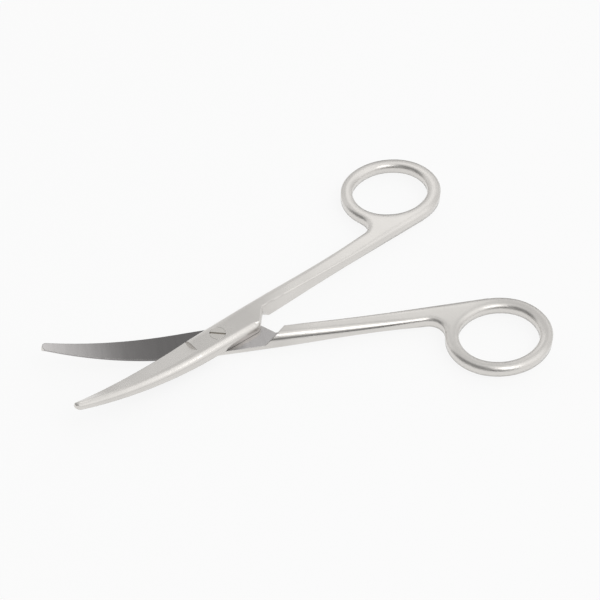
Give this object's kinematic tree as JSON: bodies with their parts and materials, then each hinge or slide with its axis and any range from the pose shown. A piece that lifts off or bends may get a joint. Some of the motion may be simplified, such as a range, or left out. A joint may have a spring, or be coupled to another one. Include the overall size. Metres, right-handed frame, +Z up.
{
  "type": "dissecting scissors",
  "caption": "Curved blunt-tipped surgical dissecting scissors with finger rings, lap joint and slotted pivot screw, lying half open; the halves turn on the screw.",
  "frame": {"origin": "on the pivot screw's axis, at the level of the underside that the scissors lie on", "axes": "+Z up along the pivot axis, -X towards the blade tips and +X towards the finger rings, midway between the two halves; +Y is the side of the upper half's ring; the blades curve up"},
  "size_m": [0.1403, 0.097, 0.0121],
  "materials": {
    "upper_half": "satin, with finer ground inner faces",
    "lower_half": "satin, with finer ground inner faces",
    "pivot_screw": "satin"
  },
  "bodies": {
    "lower": {"lower_half": "lower_half", "pivot_screw": "pivot_screw"},
    "upper": {"upper_half": "upper_half"}
  },
  "joints": [
    {"name": "blades_open", "type": "hinge", "parent": "lower", "child": "upper", "pos_m": [0, 0, 0.00309], "axis": [0, 0, 1], "range_deg": [-28, 108]}
  ]
}
